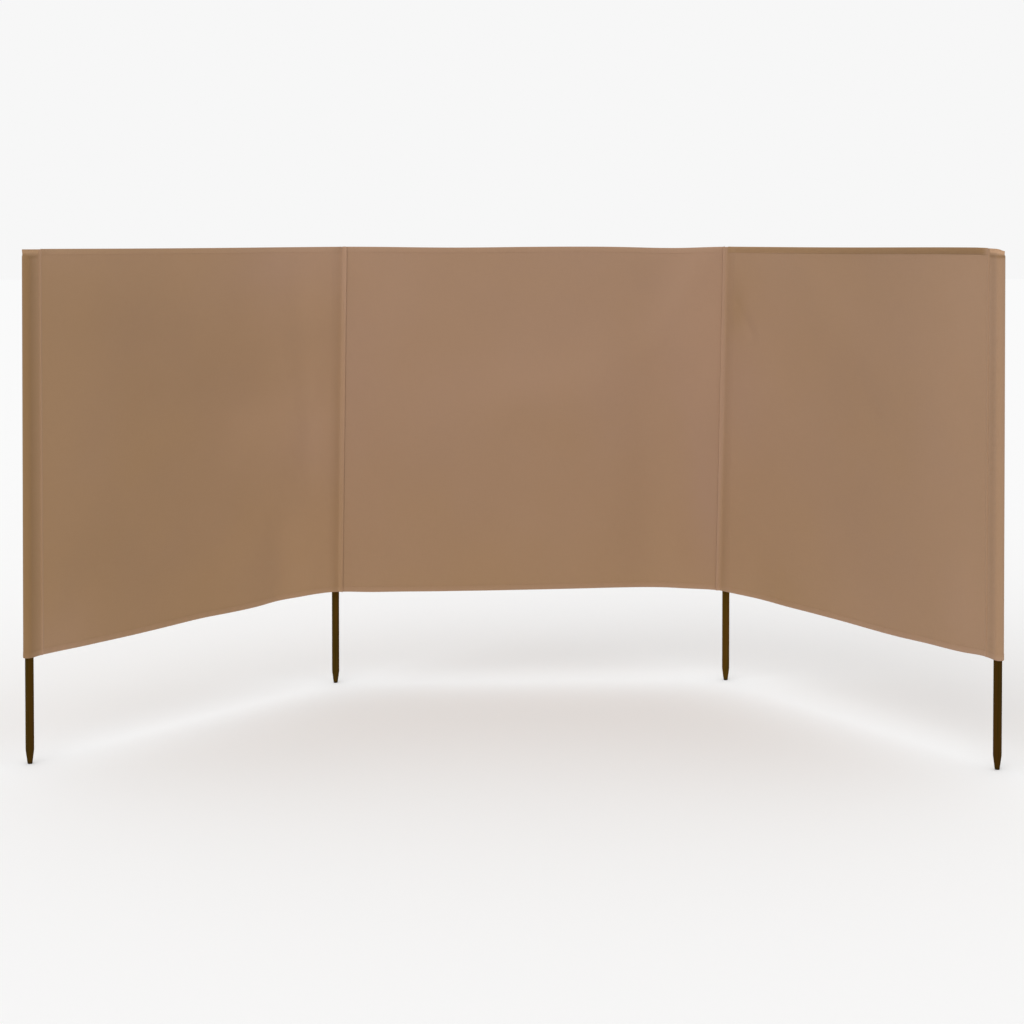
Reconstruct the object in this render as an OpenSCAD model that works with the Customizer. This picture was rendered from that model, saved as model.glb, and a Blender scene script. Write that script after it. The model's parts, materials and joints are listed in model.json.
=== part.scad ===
// Fabric windbreak: three bays of woven cloth carried by four wooden poles.
// Every pole stands in a sleeve sewn from the cloth, open at the foot and sewn flat at the top.
// The two inner sleeves are tucks that hang behind the seams on which the outer bays fold.
// Origin: centre of the blunt tip of the inner left pole. X runs along the centre bay, Y goes to the back.

/* [Poles] */
// Diameter of a pole
pole_d = 25; // [20:0.5:34]
// Length of a pole, from the blunt tip to the top end
pole_len = 1495; // [1280:1:1900]
// Length of the tapered tip
tip_len = 42; // [20:1:90]
// Diameter of the tip at its blunt end
tip_d = 14; // [8:0.5:18]
// Rounding of the blunt end
tip_round = 2; // [0.5:0.5:3]
// Chamfer round the top end
top_chamfer = 2; // [0.5:0.5:4]

/* [Cloth] */
// Height of the cloth
cloth_h = 1200; // [900:1:1250]
// Width of a bay, seam to seam, or from the seam to the edge of the end sleeve
bay_w = 1320; // [900:1:1800]
// Thickness of the cloth
cloth_t = 1; // [0.6:0.1:1.4]
// How far the middle of a bay bows to the back
bow = 18; // [6:1:50]
// Height of the hems along the top and bottom edges
hem_h = 20; // [12:1:24]
// Where a hem starts, from the line of the nearest seam
hem_inset = 8; // [6:0.5:20]

/* [Sleeves] */
// Clearance between a pole and its sleeve
sleeve_fit = 0.3; // [0.2:0.05:0.8]
// Distance from the axis of an inner pole to the seam in front of it
inner_reach = 30; // [26:0.5:45]
// Distance from the axis of an outer pole to the seam of its end sleeve
outer_reach = 46; // [28:0.5:70]
// How far an inner sleeve hangs outwards from straight behind its seam, in degrees
sleeve_turn = 43; // [25:1:45]
// Height of the shoulder of a sleeve, from the end of the pole to the top of the cloth
sleeve_top_h = 20; // [15:1:60]
// Height of the flat sewn edge along the top of the shoulder
top_flat_h = 5; // [2:0.5:12]
// How far the flat sewn edge reaches past the round of the loop
top_flare = 4; // [0:0.5:10]

/* [Seams] */
// Radius of the sewn roll of cloth along an inner seam
inner_seam_r = 4; // [2:0.1:5]
// Radius of the sewn roll of cloth along the seam of an end sleeve
outer_seam_r = 2.5; // [1.5:0.1:4]
// Clearance between a seam and the edges sewn to it
seam_gap = 0.3; // [0.2:0.05:0.5]

/* [Pitch] */
// Angle of the left bay, forward of the line of the centre bay
left_fold = 49; // [0:1:115]
// Angle of the right bay, forward of the line of the centre bay
right_fold = 60; // [0:1:115]

/* [Hidden] */

// Fineness of the round poles and sleeves, of the blended sleeve tops, and of the wide arcs of the bays
$fn = 96;
blend_fn = 40;
arc_fn = 1800;

wood = [0.27, 0.18, 0.06];
cloth = [0.62, 0.49, 0.39];
hem_cloth = [0.58, 0.46, 0.36];
seam_cloth = [0.66, 0.53, 0.42];

pole_r = pole_d / 2;
sleeve_in_r = pole_r + sleeve_fit;
sleeve_out_r = sleeve_in_r + cloth_t;

// The sewn tops of the sleeves rest on the poles, and the cloth hangs down from there
loop_top = pole_len + sleeve_fit;
cloth_top = loop_top + sleeve_top_h;
cloth_foot = cloth_top - cloth_h;

// The two layers of a sleeve lie together over this length beside the seam
sewn_width = 2 * cloth_t;
// A hem is the edge of the cloth folded double, and so is the flat top of a sleeve
hem_t = 2 * cloth_t;
// Angle of the crease where the walls of a sleeve leave the pole, in degrees
crease = 10;
// Overrun of a cut through an open face
overrun = 1;

// An edge that is sewn to a seam stops at this distance from the seam's line
inner_edge = inner_seam_r + seam_gap;
outer_edge = outer_seam_r + seam_gap;

// Place of an inner seam, seen from the pole behind it
seam_x = inner_reach * sin(sleeve_turn);
seam_y = -inner_reach * cos(sleeve_turn);
pole_spacing = bay_w + 2 * seam_x;

// An outer bay runs from its inner seam to the seam of its end sleeve
wing_w = bay_w - outer_reach - sleeve_out_r;
wing_edges = [inner_edge, outer_edge];
centre_edges = [inner_edge, inner_edge];
hem_edges = [hem_inset, hem_inset];

// Frames of the bays: X runs along the cloth from the seam, Y goes to the back
module centre_bay() {
    translate([seam_x, seam_y, 0]) children();
}

module left_bay() {
    translate([seam_x, seam_y, 0]) mirror([1, 0, 0]) rotate([0, 0, -left_fold]) children();
}

module right_bay() {
    translate([pole_spacing - seam_x, seam_y, 0]) rotate([0, 0, -right_fold]) children();
}

// Frames of the poles: X points from the axis of the pole to its seam
module at_inner_left() {
    rotate([0, 0, atan2(seam_y, seam_x)]) children();
}

module at_inner_right() {
    translate([pole_spacing, 0, 0]) rotate([0, 0, atan2(seam_y, -seam_x)]) children();
}

module at_bay_end() {
    translate([wing_w + outer_reach, 0, 0]) rotate([0, 0, 180]) children();
}

// Half outline of a pole: blunt end with a rounded edge, a taper tangent to it, shaft, chamfered top
module pole_outline() {
    round_x = tip_d / 2 - tip_round;
    shoulder = [pole_r - round_x, tip_len - tip_round];
    touch = atan2(shoulder.y, shoulder.x) - acos(tip_round / norm(shoulder));
    polygon([
        [0, 0],
        [round_x, 0],
        [round_x, tip_round],
        [round_x + tip_round * cos(touch), tip_round + tip_round * sin(touch)],
        [pole_r, tip_len],
        [pole_r, pole_len - top_chamfer],
        [pole_r - top_chamfer, pole_len],
        [0, pole_len]
    ]);
    translate([round_x, tip_round]) circle(tip_round);
}

module pole() {
    color(wood) rotate_extrude() pole_outline();
}

// Upright loop of cloth: round the pole, with two straight walls that meet in an edge.
// The walls leave the round at a slight crease.
module loop(radius, reach, height) {
    wall_r = radius * cos(crease);
    wall = acos(wall_r / reach);
    cylinder(h = height, r = radius);
    linear_extrude(height) polygon([
        [0, 0],
        [wall_r * cos(wall), wall_r * sin(wall)],
        [reach, 0],
        [wall_r * cos(wall), -wall_r * sin(wall)]
    ]);
}

// Room for a seam, with its clearance, over the whole height of the cloth
module seam_room(reach, edge) {
    translate([reach, 0, cloth_foot - overrun]) cylinder(h = cloth_h + 2 * overrun, r = edge);
}

module sleeve(reach, edge) {
    height = loop_top - cloth_foot;
    color(cloth) difference() {
        translate([0, 0, cloth_foot]) loop(sleeve_out_r, reach, height);
        translate([0, 0, cloth_foot - overrun])
            loop(sleeve_in_r, reach - edge - sewn_width, height + 2 * overrun);
        seam_room(reach, edge);
    }
}

// Top of a sleeve: the loop closes upwards, in a sloping shoulder, to the flat double layer of its sewn edge
module sleeve_top(reach, edge) {
    flat_l = reach + sleeve_out_r + top_flare;
    color(hem_cloth) difference() {
        hull() {
            translate([0, 0, loop_top]) loop(sleeve_out_r, reach, cloth_t, $fn = blend_fn);
            translate([reach - flat_l, -hem_t / 2, cloth_top - top_flat_h]) cube([flat_l, hem_t, top_flat_h]);
        }
        seam_room(reach, edge);
    }
}

module seam(reach, radius) {
    color(seam_cloth) translate([reach, 0, cloth_foot]) cylinder(h = cloth_h, r = radius);
}

// Radius of the arc that a bay of width w follows
function bow_radius(w) = (w * w / 4 + bow * bow) / (2 * bow);

// Strip of a bay of width w, swept from the middle both ways, that stops short of its two seams by edges
module bowed_strip(w, edges, thickness, foot, height) {
    radius = bow_radius(w);
    translate([w / 2, bow - radius, foot]) rotate([0, 0, 90])
        for (side = [0, 1]) mirror([0, side, 0])
            rotate_extrude(angle = asin((w / 2 - edges[side]) / radius), $fn = arc_fn)
                translate([radius - thickness / 2, 0]) square([thickness, height]);
}

module panel(w, edges) {
    color(cloth) bowed_strip(w, edges, cloth_t, cloth_foot + hem_h, cloth_h - 2 * hem_h);
}

module top_hem(w) {
    color(hem_cloth) bowed_strip(w, hem_edges, hem_t, cloth_top - hem_h, hem_h);
}

module bottom_hem(w) {
    color(hem_cloth) bowed_strip(w, hem_edges, hem_t, cloth_foot, hem_h);
}

left_bay() at_bay_end() pole();  // outer_left_pole
at_inner_left() pole();  // inner_left_pole
at_inner_right() pole();  // inner_right_pole
right_bay() at_bay_end() pole();  // outer_right_pole

left_bay() at_bay_end() sleeve(outer_reach, outer_edge);  // outer_left_sleeve
at_inner_left() sleeve(inner_reach, inner_edge);  // inner_left_sleeve
at_inner_right() sleeve(inner_reach, inner_edge);  // inner_right_sleeve
right_bay() at_bay_end() sleeve(outer_reach, outer_edge);  // outer_right_sleeve

left_bay() at_bay_end() sleeve_top(outer_reach, outer_edge);  // outer_left_sleeve_top
at_inner_left() sleeve_top(inner_reach, inner_edge);  // inner_left_sleeve_top
at_inner_right() sleeve_top(inner_reach, inner_edge);  // inner_right_sleeve_top
right_bay() at_bay_end() sleeve_top(outer_reach, outer_edge);  // outer_right_sleeve_top

left_bay() at_bay_end() seam(outer_reach, outer_seam_r);  // outer_left_seam
at_inner_left() seam(inner_reach, inner_seam_r);  // inner_left_seam
at_inner_right() seam(inner_reach, inner_seam_r);  // inner_right_seam
right_bay() at_bay_end() seam(outer_reach, outer_seam_r);  // outer_right_seam

left_bay() panel(wing_w, wing_edges);  // left_panel
centre_bay() panel(bay_w, centre_edges);  // centre_panel
right_bay() panel(wing_w, wing_edges);  // right_panel

left_bay() top_hem(wing_w);  // left_top_hem
centre_bay() top_hem(bay_w);  // centre_top_hem
right_bay() top_hem(wing_w);  // right_top_hem

left_bay() bottom_hem(wing_w);  // left_bottom_hem
centre_bay() bottom_hem(bay_w);  // centre_bottom_hem
right_bay() bottom_hem(wing_w);  // right_bottom_hem
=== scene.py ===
# %% [markdown]
# A fabric windbreak is one long strip of woven cloth, sewn into bays, with a pole in a sleeve at each end
# of a bay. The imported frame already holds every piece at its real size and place. This lesson dresses that
# frame: it reads places from it and never moves it, so the cloth fits its poles by itself.

# %% Load the frame
import json
import math

import bmesh
import bpy
import numpy as np
from mathutils import Matrix, Vector, noise


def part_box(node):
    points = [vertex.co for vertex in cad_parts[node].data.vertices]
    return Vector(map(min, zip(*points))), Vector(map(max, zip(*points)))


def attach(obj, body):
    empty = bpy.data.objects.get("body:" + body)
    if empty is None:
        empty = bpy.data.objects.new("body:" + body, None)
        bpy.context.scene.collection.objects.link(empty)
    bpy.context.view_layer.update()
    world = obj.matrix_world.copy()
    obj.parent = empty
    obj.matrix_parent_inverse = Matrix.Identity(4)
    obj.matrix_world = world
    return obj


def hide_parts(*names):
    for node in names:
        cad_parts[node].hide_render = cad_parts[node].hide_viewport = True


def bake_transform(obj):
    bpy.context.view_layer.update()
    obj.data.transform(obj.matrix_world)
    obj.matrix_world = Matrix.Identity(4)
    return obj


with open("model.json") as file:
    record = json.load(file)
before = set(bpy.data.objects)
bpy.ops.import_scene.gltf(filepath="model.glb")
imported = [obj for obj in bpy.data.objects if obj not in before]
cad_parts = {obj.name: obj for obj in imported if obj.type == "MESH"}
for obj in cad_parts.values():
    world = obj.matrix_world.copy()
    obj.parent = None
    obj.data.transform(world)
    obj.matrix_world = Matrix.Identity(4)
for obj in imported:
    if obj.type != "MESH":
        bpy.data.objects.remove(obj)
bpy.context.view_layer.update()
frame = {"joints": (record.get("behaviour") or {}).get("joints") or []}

scene = bpy.context.scene

# %% [markdown]
# The outer bays fold on the two inner seams, so each joint's place is the line of a seam. The boxes of the
# nodes give the poles and the heights. These numbers could be typed in, but read from the frame they stay
# right when a size changes.

# %% Read the places
MM = 0.001
PLACES = ("outer_left", "inner_left", "inner_right", "outer_right")
SIDES = ("left", "right")


def middle(node):
    low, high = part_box(node)
    return (low + high) / 2


joint_of = {joint["child"]: joint for joint in frame["joints"]}
SEAM = {side: Vector(joint_of[side + "_bay"]["pos_m"]).to_2d() for side in SIDES}
END_SEAM = {side: middle("outer_" + side + "_seam").to_2d() for side in SIDES}
POLE = {place: middle(place + "_pole").to_2d() for place in PLACES}
pole_low, pole_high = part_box("inner_left_pole")
POLE_R = (pole_high.x - pole_low.x) / 2
POLE_TOP = pole_high.z
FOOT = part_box("centre_bottom_hem")[0].z
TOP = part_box("centre_top_hem")[1].z
HEIGHT = TOP - FOOT
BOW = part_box("centre_panel")[1].y - SEAM["left"].y
CENTRE_W = (SEAM["right"] - SEAM["left"]).length
WING_W = (END_SEAM["left"] - SEAM["left"]).length
OUTER_REACH = (POLE["outer_left"] - END_SEAM["left"]).length
INNER_REACH = (POLE["inner_left"] - SEAM["left"]).length
print("bays", round(CENTRE_W, 3), round(WING_W, 3), "cloth height", round(HEIGHT, 3))

# %% [markdown]
# A bay is easiest to shape in its own two directions on the ground: along the cloth, away from the seam, and
# to the back, away from the sheltered side. The left bay runs against X, so its fold counts from there.

# %% Give each bay its directions


def bay_frame(start, end):
    along = (end - start).normalized()
    back = Vector((-along.y, along.x))
    if back.y < 0:
        back.negate()
    return {"start": start, "along": along, "back": back}


BAY = {
    "left": bay_frame(SEAM["left"], POLE["outer_left"]),
    "centre": bay_frame(SEAM["left"], SEAM["right"]),
    "right": bay_frame(SEAM["right"], POLE["outer_right"]),
}
FOLD = {side: math.degrees(BAY[side]["along"].angle(BAY["centre"]["along"])) for side in SIDES}
FOLD["left"] = 180 - FOLD["left"]
print("folded", {side: round(FOLD[side], 1) for side in SIDES})

# %% [markdown]
# The picture was taken at about eye level from seven metres. A tilted camera would make the poles lean in
# the picture, so it is almost level, and a lens shift moves the picture down onto the screen.

# %% Set up the camera
CAMERA_PLACE = (0.4164, -6.7151, 1.5587)
CAMERA_TURN = math.radians(1.68)
CAMERA_TILT = math.radians(1.5)
LENS_MM = 68.12
SENSOR_MM = 36
SHIFT_Y = -0.2218


def put(name, data):
    made = bpy.data.objects.new(name, data)
    scene.collection.objects.link(made)
    return made


camera_data = bpy.data.cameras.new("camera")
camera_data.lens = LENS_MM
camera_data.sensor_width = SENSOR_MM
camera_data.shift_y = SHIFT_Y
camera = put("camera", camera_data)
camera.location = CAMERA_PLACE
camera.rotation_euler = (math.pi / 2 - CAMERA_TILT, 0, -CAMERA_TURN)
scene.camera = camera
print("camera at", CAMERA_PLACE, "lens", LENS_MM)

# %% [markdown]
# The studio is a pale room: an even floor, the same tone all round, and one very soft light. It shines from
# the front on the left, so the left bay, which faces away from it, comes out a little darker. The Standard
# view shows the cloth in the colour that it is given.

# %% Light the studio
WORLD_STRENGTH = 0.93
KEY_FROM = Vector((-0.42, -0.66, 0.62))
KEY_STRENGTH = 0.55
KEY_SPREAD = math.radians(50)

key_data = bpy.data.lights.new("key_light", "SUN")
key_data.energy = KEY_STRENGTH
key_data.angle = KEY_SPREAD
key_light = put("key_light", key_data)
key_light.rotation_mode = "QUATERNION"
key_light.rotation_quaternion = (-KEY_FROM).to_track_quat("-Z", "Y")

world = bpy.data.worlds.new("pale_room")
scene.world = world
world.use_nodes = True
world.node_tree.nodes["Background"].inputs["Color"].default_value = (1.0, 1.0, 1.0, 1.0)
world.node_tree.nodes["Background"].inputs["Strength"].default_value = WORLD_STRENGTH
scene.view_settings.view_transform = "Standard"
print("room", WORLD_STRENGTH, "light", KEY_STRENGTH)

# %% Lay the floor
FLOOR_HALF = 60.0
FLOOR_TONE = 0.92


def mesh_object(name, bm):
    mesh = bpy.data.meshes.new(name)
    bm.to_mesh(mesh)
    bm.free()
    return put(name, mesh)


def new_material(name):
    made = bpy.data.materials.new(name)
    made.use_nodes = True
    return made, made.node_tree, made.node_tree.nodes["Principled BSDF"]


floor_mesh = bmesh.new()
bmesh.ops.create_grid(floor_mesh, x_segments=1, y_segments=1, size=FLOOR_HALF)
floor = mesh_object("studio_floor", floor_mesh)
floor_paint, tree, shader = new_material("floor_paint")
shader.inputs["Base Color"].default_value = (FLOOR_TONE, FLOOR_TONE, FLOOR_TONE, 1.0)
shader.inputs["Roughness"].default_value = 0.9
shader.inputs["Specular IOR Level"].default_value = 0.0
floor.data.materials.append(floor_paint)
print("floor of tone", FLOOR_TONE)

# %% [markdown]
# Node trees get long, so a few small helpers place and link the nodes. Any input takes a socket, which is
# linked, or a plain value.

# %% Helpers for node trees


def plug(tree, socket, value):
    if isinstance(value, bpy.types.NodeSocket):
        tree.links.new(value, socket)
    else:
        socket.default_value = value


def feed(tree, node, **inputs):
    for name, value in inputs.items():
        plug(tree, node.inputs[name.replace("_", " ")], value)


def add_node(tree, kind, settings=None, **inputs):
    made = tree.nodes.new(kind)
    for name, value in (settings or {}).items():
        setattr(made, name, value)
    feed(tree, made, **inputs)
    return made


def attribute(tree, name, output="Fac"):
    return add_node(tree, "ShaderNodeAttribute", {"attribute_name": name}).outputs[output]


def map_range(tree, value, **ends):
    return add_node(tree, "ShaderNodeMapRange", Value=value, **ends).outputs[0]


def noise_at(tree, place, **settings):
    return add_node(tree, "ShaderNodeTexNoise", Vector=place, **settings).outputs[0]


def calc(tree, operation, first, second=0.0):
    made = add_node(tree, "ShaderNodeMath", {"operation": operation})
    plug(tree, made.inputs[0], first)
    plug(tree, made.inputs[1], second)
    return made.outputs[0]


def times(tree, first, second):
    return calc(tree, "MULTIPLY", first, second)


print("node helpers ready")

# %% Helpers for colours


def mix_colour(tree, share, first, second, how="MIX"):
    made = add_node(tree, "ShaderNodeMix", {"data_type": "RGBA", "blend_type": how})
    colour_inputs = [socket for socket in made.inputs if socket.type == "RGBA"]
    plug(tree, made.inputs[0], share)
    plug(tree, colour_inputs[0], first)
    plug(tree, colour_inputs[1], second)
    return next(socket for socket in made.outputs if socket.type == "RGBA")


def shade_by(tree, colour, value):
    grey = add_node(tree, "ShaderNodeCombineColor", Red=value, Green=value, Blue=value)
    return mix_colour(tree, 1.0, colour, grey.outputs[0], "MULTIPLY")


print("colour helpers ready")

# %% [markdown]
# The cloth is a plain weave: warp threads run up the screen, weft threads run along it, and each passes
# over and under the next. Modelled threads would need millions of faces, so the weave is a node group on
# the flat cloth's own coordinates, and the threads keep their pitch and follow every fold. Two sines make
# the rounded threads, and the sign of their product says which is on top. Yarn is never even, so the
# threads vary a little.

# %% Make the weave group
YARN_STRETCH = 0.02

weave = bpy.data.node_groups.new("plain_weave", "ShaderNodeTree")
weave.interface.new_socket("Flat cloth", in_out="INPUT", socket_type="NodeSocketVector")
weave.interface.new_socket("Thread pitch", in_out="INPUT", socket_type="NodeSocketFloat")
for label in ("Height", "Yarn"):
    weave.interface.new_socket(label, in_out="OUTPUT", socket_type="NodeSocketFloat")
weave_in = weave.nodes.new("NodeGroupInput").outputs
weave_out = weave.nodes.new("NodeGroupOutput").inputs
split = add_node(weave, "ShaderNodeSeparateXYZ", Vector=weave_in["Flat cloth"])
warp_count = calc(weave, "DIVIDE", split.outputs["X"], weave_in["Thread pitch"])
weft_count = calc(weave, "DIVIDE", split.outputs["Y"], weave_in["Thread pitch"])
warp_wave = calc(weave, "SINE", times(weave, warp_count, math.pi))
weft_wave = calc(weave, "SINE", times(weave, weft_count, math.pi))
warp_on_top = calc(weave, "GREATER_THAN", times(weave, warp_wave, weft_wave), 0.0)
weft_on_top = calc(weave, "SUBTRACT", 1.0, warp_on_top)
warp_part = times(weave, calc(weave, "ABSOLUTE", warp_wave), warp_on_top)
weft_part = times(weave, calc(weave, "ABSOLUTE", weft_wave), weft_on_top)
plug(weave, weave_out["Height"], calc(weave, "ADD", warp_part, weft_part))


def yarn_noise(across, along):
    place = add_node(weave, "ShaderNodeCombineXYZ", X=across, Y=along)
    return noise_at(weave, place.outputs[0], Scale=1.0, Detail=1.0)


warp_yarn = yarn_noise(calc(weave, "FLOOR", warp_count), times(weave, weft_count, YARN_STRETCH))
weft_yarn = yarn_noise(times(weave, warp_count, YARN_STRETCH), calc(weave, "FLOOR", weft_count))
plug(weave, weave_out["Yarn"], times(weave, calc(weave, "ADD", warp_yarn, weft_yarn), 0.5))
print("weave group:", len(weave.nodes), "nodes")

# %% [markdown]
# The taupe cloth is matt polyester with a faint bloom. Its colour drifts a little between olive and rose
# over a hand's width, and its yarns differ. Light and shade are painted on top: a painted lightness, a share
# of olive that rises where the cloth lies in shade, and a brown band of painted shade where the cloth lies
# on a dark pole, standing in for the pole seen through the thin weave and for the shade in creases and
# under the right top hem. The band, the lightness and the share of olive could be worked out from places in
# the room, but painted on the sheets as attributes they move with the cloth when a bay folds.

# %% Make the cloth material
THREAD_PITCH = 1.0 * MM
CLOTH_OLIVE = (0.365, 0.220, 0.112, 1.0)
CLOTH_ROSE = (0.370, 0.229, 0.148, 1.0)
UNTINTED = (1.0, 1.0, 1.0, 1.0)
POLE_SHADE_TINT = (0.73, 0.69, 0.57, 1.0)
DRIFT = 0.25
YARN_SHADE = 0.16
GAP_SHADE = 0.10

cloth, tree, shader = new_material("taupe_cloth")
flat_map = add_node(tree, "ShaderNodeUVMap", {"uv_map": "flat_cloth"}).outputs[0]
threads = add_node(tree, "ShaderNodeGroup", {"node_tree": weave}, Flat_cloth=flat_map)
feed(tree, threads, Thread_pitch=THREAD_PITCH)
height, yarn = threads.outputs["Height"], threads.outputs["Yarn"]
drift = map_range(tree, noise_at(tree, flat_map, Scale=2.6, Detail=2.0), To_Min=-DRIFT, To_Max=DRIFT)
# the olive share is painted shade colour, olive where the cloth lies in shade, with a random drift on top
olive_share = calc(tree, "ADD", attribute(tree, "olive"), drift)
yarn_dark = times(tree, calc(tree, "SUBTRACT", yarn, 0.5), YARN_SHADE)
gap_dark = times(tree, calc(tree, "SUBTRACT", 1.0, height), GAP_SHADE)
# the painted lightness attribute brightens and darkens the cloth as painted light and shade
shade = calc(tree, "SUBTRACT", calc(tree, "ADD", attribute(tree, "painted_shading"), yarn_dark), gap_dark)
woven_colour = shade_by(tree, mix_colour(tree, olive_share, CLOTH_ROSE, CLOTH_OLIVE), shade)
# brown band of painted shade over the poles, in the creases and under the right top hem
pole_shade_colour = mix_colour(tree, attribute(tree, "painted_pole_shade"), UNTINTED, POLE_SHADE_TINT)
weave_bump = add_node(tree, "ShaderNodeBump", Strength=0.35, Distance=0.25 * MM, Height=height)
slub_bump = add_node(tree, "ShaderNodeBump", Strength=0.25, Distance=0.4 * MM, Height=yarn)
feed(tree, slub_bump, Normal=weave_bump.outputs[0])
feed(tree, shader, Base_Color=mix_colour(tree, 1.0, woven_colour, pole_shade_colour, "MULTIPLY"))
feed(tree, shader, Roughness=map_range(tree, yarn, To_Min=0.80, To_Max=0.95), Normal=slub_bump.outputs[0])
feed(tree, shader, Specular_IOR_Level=0.2, Sheen_Weight=0.12, Sheen_Roughness=0.5)
print("cloth material:", len(tree.nodes), "nodes")

# %% [markdown]
# The sewing thread is close to the cloth in colour and a little glossier, as filament yarn is. Twisted
# strands could be modelled, but on a thread this thin a fine noise can stand for them.

# %% Make the thread material
THREAD_DARK = (0.33, 0.20, 0.115, 1.0)
THREAD_LIGHT = (0.43, 0.27, 0.17, 1.0)

thread, tree, shader = new_material("sewing_thread")
here = add_node(tree, "ShaderNodeTexCoord")
twist = noise_at(tree, here.outputs["Object"], Scale=1800.0, Detail=1.0)
twist_bump = add_node(tree, "ShaderNodeBump", Strength=0.4, Distance=0.1 * MM, Height=twist)
feed(tree, shader, Base_Color=mix_colour(tree, twist, THREAD_DARK, THREAD_LIGHT))
feed(tree, shader, Roughness=0.6, Normal=twist_bump.outputs[0])
print("thread material:", len(tree.nodes), "nodes")

# %% [markdown]
# The poles are round softwood stakes in a matt dark brown stain. It sinks into the early wood, so the grain
# shows as fine streaks along the pole, greenish and reddish, and the end grain of the tip is nearly black.
# A noise stretched along the pole gives such streaks. Each pole carries its own coordinates as an
# attribute, so the grain runs true on all four. Another attribute says how light the stain came out,
# because no two stakes take it alike.

# %% Make the wood material
WOOD_DARK = (0.044, 0.0255, 0.0018, 1.0)
WOOD_LIGHT = (0.098, 0.0485, 0.0036, 1.0)
WOOD_RED = (0.086, 0.0370, 0.0028, 1.0)
WOOD_END = (0.020, 0.0130, 0.0030, 1.0)
GRAIN_STRETCH = (1.0, 1.0, 0.035)
STREAK_SHARE = 0.65
BOARD_SHARE = 0.35

wood, tree, shader = new_material("stained_wood")
own_place = attribute(tree, "own_place", "Vector")
long_grain = add_node(tree, "ShaderNodeMapping", Vector=own_place, Scale=GRAIN_STRETCH).outputs[0]
streak = noise_at(tree, long_grain, Scale=420.0, Detail=5.0, Roughness=0.62)
board = noise_at(tree, long_grain, Scale=90.0, Detail=2.0)
grain = calc(tree, "ADD", times(tree, streak, STREAK_SHARE), times(tree, board, BOARD_SHARE))
stain = mix_colour(tree, map_range(tree, grain, From_Min=0.34, From_Max=0.68), WOOD_DARK, WOOD_LIGHT)
reddish = map_range(tree, board, From_Min=0.48, From_Max=0.62, To_Max=0.8)
stain = shade_by(tree, mix_colour(tree, reddish, stain, WOOD_RED), attribute(tree, "lightness"))
grain_bump = add_node(tree, "ShaderNodeBump", Strength=0.5, Distance=0.3 * MM, Height=streak)
feed(tree, shader, Base_Color=mix_colour(tree, attribute(tree, "end_grain"), stain, WOOD_END))
feed(tree, shader, Roughness=map_range(tree, grain, To_Min=0.60, To_Max=0.85), Normal=grain_bump.outputs[0])
feed(tree, shader, Specular_IOR_Level=0.04)
print("wood material:", len(tree.nodes), "nodes")

# %% [markdown]
# A pole could stay as the frame has it, but its edges are knife sharp there. A profile with eased corners,
# spun round the axis, gives the same pole, sanded. Its many points up the shaft let a trace of noise take
# off the machined look.

# %% Draw the profile of a pole
TIP_LENGTH = 42 * MM
TIP_R = 7 * MM
EASE = 1.6 * MM
EASED_CORNER = ((1.0, 0.0), (0.4, 0.18), (0.0, 0.75))
TAPER_SHARES = (0.2, 0.4, 0.6, 0.8, 0.95)
SHOULDER = 0.1 * MM
SHOULDER_SHARES = (1.03, 1.1)
TOP_CHAMFER = 2 * MM
RINGS = 40


def pole_profile():
    taper = (POLE_R - TIP_R) / TIP_LENGTH
    points = [(0.0, 0.0)] + [(TIP_R - inwards * EASE, up * EASE) for inwards, up in EASED_CORNER]
    points += [(TIP_R + taper * share * TIP_LENGTH, share * TIP_LENGTH) for share in TAPER_SHARES]
    points += [(POLE_R - SHOULDER, SHOULDER_SHARES[0] * TIP_LENGTH)]
    shaft = np.linspace(SHOULDER_SHARES[1] * TIP_LENGTH, POLE_TOP - TOP_CHAMFER, RINGS)
    points += [(POLE_R, height) for height in shaft]
    return points + [(POLE_R - TOP_CHAMFER, POLE_TOP), (0.0, POLE_TOP)]


print("pole profile:", len(pole_profile()), "points")

# %% Turn the poles
POLE_STEPS = 48
MERGE = 0.01 * MM
DENT = 0.12 * MM
DENT_SCALE = 25.0
SOAKED = 9 * MM
GRAIN_APART = (0.3, 0.2)
LIGHTNESS = {"outer_left": 0.70, "inner_left": 0.82, "inner_right": 0.96, "outer_right": 0.59}


def turn_pole(name, axis, number, lightness):
    bm = bmesh.new()
    ring = [bm.verts.new((radius, 0.0, height)) for radius, height in pole_profile()]
    rail = [bm.edges.new(pair) for pair in zip(ring, ring[1:])]
    bmesh.ops.spin(bm, geom=ring + rail, cent=(0, 0, 0), axis=(0, 0, 1), angle=2 * math.pi,
                   steps=POLE_STEPS, use_merge=True, use_duplicate=False)
    bmesh.ops.remove_doubles(bm, verts=bm.verts[:], dist=MERGE)
    bmesh.ops.recalc_face_normals(bm, faces=bm.faces[:])
    own = bm.verts.layers.float_vector.new("own_place")
    soaked = bm.verts.layers.float.new("end_grain")
    light = bm.verts.layers.float.new("lightness")
    apart = Vector((GRAIN_APART[0] * number, GRAIN_APART[1] * number, 0.0))
    for vert in bm.verts:
        vert[own] = vert.co + apart
        vert[soaked] = max(0.0, 1.0 - vert.co.z / SOAKED)
        vert[light] = lightness
        out = Vector((vert.co.x, vert.co.y, 0.0))
        if out.length > TIP_R / 2 and vert.co.z > EASE:
            vert.co += out.normalized() * DENT * noise.noise(vert[own] * DENT_SCALE)
    bmesh.ops.translate(bm, vec=(axis.x, axis.y, 0.0), verts=bm.verts[:])
    for face in bm.faces:
        face.smooth = True
    made = mesh_object(name, bm)
    made.data.materials.append(wood)
    return made


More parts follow.
